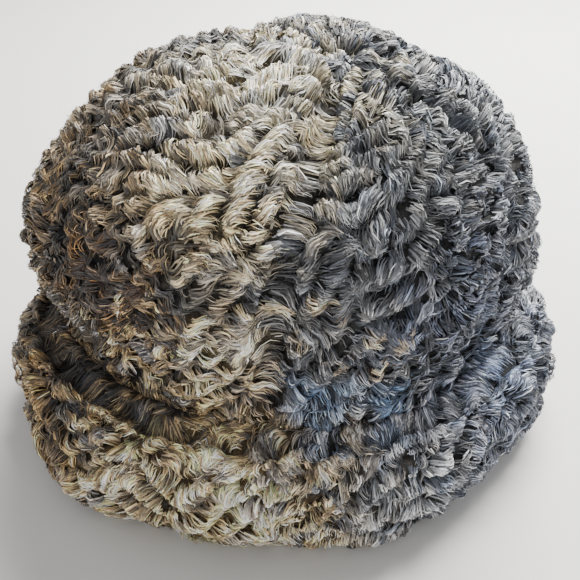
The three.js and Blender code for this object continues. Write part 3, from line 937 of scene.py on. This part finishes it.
apexAt = np.array(crownForm["apex"]) + headForm["shift"][:2]
for index, gore in enumerate(crownForm["gores"]):
    grid, seamFar = goreGrid(index, crown["rows"], crown["pastSeam"])
    rng = np.random.default_rng(curlForm["seed"] + index)
    atApex = np.exp(-((grid[..., :2] - apexAt) ** 2).sum(-1) / crown["apexReach"] ** 2)
    curls = curlField(grid, False, "crownLie", 1, rng, np.random.default_rng(coat["lieSeed"]))
    curls["normal"] = unit(curls["normal"] + 20 * (atApex ** 6)[..., None] * np.array(crownForm["apexNormal"]))
    shade = crest(np.angle(curls["field"]))
    fromCrease = grid[..., 2] - brimForm["height"]
    seamGrows = (1 - atApex) * np.clip(fromCrease / crown["seamFade"], 0.15, 1)
    nearSeam = np.exp(-(seamFar / crown["seamHalf"]) ** 2) * seamGrows
    height = (steadyHeight(curls, shade) * (1 - 0.5 * nearSeam)
              - curlForm["sunk"] - creaseDepth(grid, fromCrease) - crown["seamSunk"] * nearSeam)
    direction = np.degrees(np.arctan2(grid[..., 1], grid[..., 0]))
    for angle, reach, middle, tall, depth in curlForm["closer"]:
        turn = (direction - angle + 180) % 360 - 180
        height = height - depth * np.exp(-(turn / reach) ** 2 - ((grid[..., 2] - middle) / tall) ** 2)
    foot = np.exp(-(seamFar / crownForm["seamReach"]) ** 2 - (fromCrease / 12) ** 2)
    curls["height"] = np.maximum(height, curlForm["deepest"] + (crownForm["seamDepth"] + 1) * foot)
    combed, combedReach, combedTall = crown["combedAt"]
    curls["sweep"] = np.exp(-((direction - combed) / combedReach) ** 2 - (fromCrease / combedTall) ** 2)
    curls["seamFar"] = seamFar + 6 * atApex
    # painted shade along the seams and in the crease darkens the hairs there
    hidden = crown["seamShade"] * nearSeam + coat["creaseShade"] * creaseDepth(grid, fromCrease)
    curls["hidden"] = np.clip(hidden, 0, coat["mostShade"])
    between = slice(crown["pastSeam"], -crown["pastSeam"])
    seedArea = np.zeros(grid.shape[:2])
    seedArea[:, between] = 1 + crown["apexMore"] * atApex[:, between]
    fur = growFur(grid, curls, False, seedArea, np.random.default_rng(furForm["seed"] + index), coat["seed"])

    rowStep, columnStep = crown["peltRows"], crown["peltColumns"]
    outer = grid + curls["normal"] * (curls["height"] - furForm["peltUnder"])[..., None]
    outer = outer[::rowStep, between][:, ::columnStep]
    ridge = crown["hideRidge"] * np.exp(-(seamFar / crown["ridgeReach"]) ** 2) * seamGrows
    inner = grid - curls["normal"] * (headForm["wall"] + crown["hideUnder"] + ridge)[..., None]
    inner = inner[::2 * rowStep, between][:, ::2 * columnStep]
    points, faces = closedShell(outer, inner, 2)
    peltShade = shade[::rowStep, between][:, ::columnStep].ravel()
    colours = np.concatenate([
        peltColour(outer.reshape(-1, 3), peltShade, coat["seed"]),
        np.tile(coat["hide"], (inner.shape[0] * inner.shape[1], 1))])
    outerFaces, innerFaces = ((part.shape[0] - 1) * (part.shape[1] - 1) for part in (outer, inner))
    made = [addPelt(gore + "_pelt", points, faces, colours, slice(outerFaces, outerFaces + innerFaces))]
    parts = math.ceil(len(fur["points"]) / crown["mostHairs"])
    order = np.argsort(np.degrees(np.arctan2(fur["points"][:, 0, 1], fur["points"][:, 0, 0])) % 360)
    for part, chosen in enumerate(np.array_split(order, parts)):
        label = gore + "_fur" + ("_" + "ab"[part] if parts > 1 else "")
        made.append(makeFur(label, fur, chosen))
    for piece in made:
        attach(piece, "root")
        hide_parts(gore)

brim = {
    "rows": 114,
    "columns": 976,
    "peltRows": 2,
    "peltColumns": 4,
    "underRows": 18,
    "curlSize": 1.2,
    "lip": 7,  # how far inside the crease the fur side begins
    "seedMore": 0.9,  # more tufts in the crease
}

rowStep, columnStep = brim["peltRows"], brim["peltColumns"]
grid = brimGrid(brimForm["furSide"], brim["rows"], brim["columns"])[::-1]  # its rows run up the coat
curls = curlField(grid, True, "brimLie", brim["curlSize"], np.random.default_rng(curlForm["seed"] + 9),
                  np.random.default_rng(coat["lieSeed"]))
rise = np.linspace(0, 1, brim["rows"])[:, None]
shade = crest(np.angle(curls["field"]))
outward = np.cumsum(np.linalg.norm(curls["up"], axis=-1)[::-1], axis=0)[::-1] - brim["lip"]
fromCrease = np.abs(outward)
edges = np.clip(np.minimum(rise * 12, outward / 6), 0, 1)
crease = creaseDepth(grid, fromCrease)
height = steadyHeight(curls, shade) * (0.15 + 0.85 * edges) - curlForm["sunk"] * edges
curls["height"] = np.maximum(height - crease * np.clip(outward / 4, 0, 1), curlForm["deepest"])
curls["seamFar"] = np.full(grid.shape[:2], 9.0)
curls["sweep"] = np.zeros(grid.shape[:2])
# painted shade in the crease darkens the hairs there
curls["hidden"] = np.clip(coat["creaseShade"] * crease, 0, coat["mostShade"])
seedArea = 1 + brim["seedMore"] * np.exp(-(fromCrease / 7) ** 2)
fur = growFur(grid, curls, True, seedArea, np.random.default_rng(furForm["seed"] + 9), coat["seed"], floor=0)

# the pelt runs from the crease over the lip to the hem, and the hide back up under it
lower = curls["height"] - furForm["peltUnder"] * edges
outer = grid + curls["normal"] * lower[..., None]
outer[..., 2] = np.maximum(outer[..., 2], 0)
outer = outer[::-1][::rowStep, ::columnStep]
outer = np.concatenate([outer, grid[::-1][-1:, ::columnStep]], 0)
under = brimGrid(brimForm["underSide"], brim["underRows"], brim["columns"])[1:, ::columnStep]
under[..., 2] = np.maximum(under[..., 2], 0)
loop = np.concatenate([outer, under], 0)
rows, columns = loop.shape[:2]
last = (rows - 1) * columns
j = np.arange(columns)
closing = np.stack([last + j, last + (j + 1) % columns, (j + 1) % columns, j], 1)
faces = [gridFaces(rows, columns, True), closing]
colours = np.concatenate([
    peltColour(outer[:-1].reshape(-1, 3), shade[::-1][::rowStep, ::columnStep].ravel(), coat["seed"]),
    np.tile(coat["hide"], (columns * (rows - len(outer) + 1), 1))])
# painted shade: the top of the brim's inside, in the slit under the crown, is as dark as the hairs' roots
colours[-columns:] = coatColours["root"]
pelt = addPelt("brim_pelt", loop.reshape(-1, 3), faces, colours, slice((len(outer) - 1) * columns, -columns))
isNear = fur["points"][:, 0, 1] < 0
for piece in (pelt, makeFur("brim_fur_near", fur, isNear), makeFur("brim_fur_far", fur, ~isNear)):
    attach(piece, "root")
    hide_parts("brim")
print("hat made")

# Studio

studio = {
    "floor": (0.66, 0.65, 0.63),
    "floorHalf": 3,
    "world": 0.78,
    "lights": [  # name, place, size, watts, colour
        ("window", (0.3, 0.45, 1.0), 0.6, 80, (1.0, 0.99, 0.97)),
        ("room", (0.8, -0.3, 0.6), 0.8, 9, (0.93, 0.96, 1.0)),
        ("front", (-0.1, -0.9, 0.6), 0.8, 145, (1.0, 0.98, 0.96)),
    ],
}

floorMesh = bpy.data.meshes.new("floor")
half = studio["floorHalf"]
corners = [(-half, -half, 0), (half, -half, 0), (half, half, 0), (-half, half, 0)]
floorMesh.from_pydata(corners, [], [(0, 1, 2, 3)])
floor = addObject("floor", floorMesh)
floorMaterial = bpy.data.materials.new("paleFloor")
floorMaterial.use_nodes = True
floorMaterial.node_tree.nodes["Principled BSDF"].inputs["Base Color"].default_value = (*studio["floor"], 1)
floorMaterial.node_tree.nodes["Principled BSDF"].inputs["Roughness"].default_value = 0.6
floorMesh.materials.append(floorMaterial)

world = bpy.data.worlds.new("studio")
bpy.context.scene.world = world
world.use_nodes = True
world.node_tree.nodes["Background"].inputs["Color"].default_value = (0.98, 0.98, 1.0, 1)
world.node_tree.nodes["Background"].inputs["Strength"].default_value = studio["world"]

for name, place, size, watts, colour in studio["lights"]:
    lamp = bpy.data.lights.new(name, "AREA")
    lamp.size, lamp.energy, lamp.color = size, watts, colour
    light = addObject(name, lamp)
    light.location = place
    target = np.array((0, 0, 0.08)) - np.array(place)
    light.rotation_euler = (math.acos(target[2] / np.linalg.norm(target)) + math.pi, 0,
                            math.atan2(target[1], target[0]) - math.pi / 2)

view = {"elevation": 38, "distance": 0.325, "target": (0.002, 0, 0.055), "lens": 41.09}
lensData = bpy.data.cameras.new("camera")
lensData.lens = view["lens"]
camera = addObject("camera", lensData)
tilt = math.radians(view["elevation"])
camera.location = (view["target"][0], view["target"][1] - view["distance"] * math.cos(tilt),
                   view["target"][2] + view["distance"] * math.sin(tilt))
camera.rotation_euler = (math.pi / 2 - tilt, 0, 0)
bpy.context.scene.camera = camera
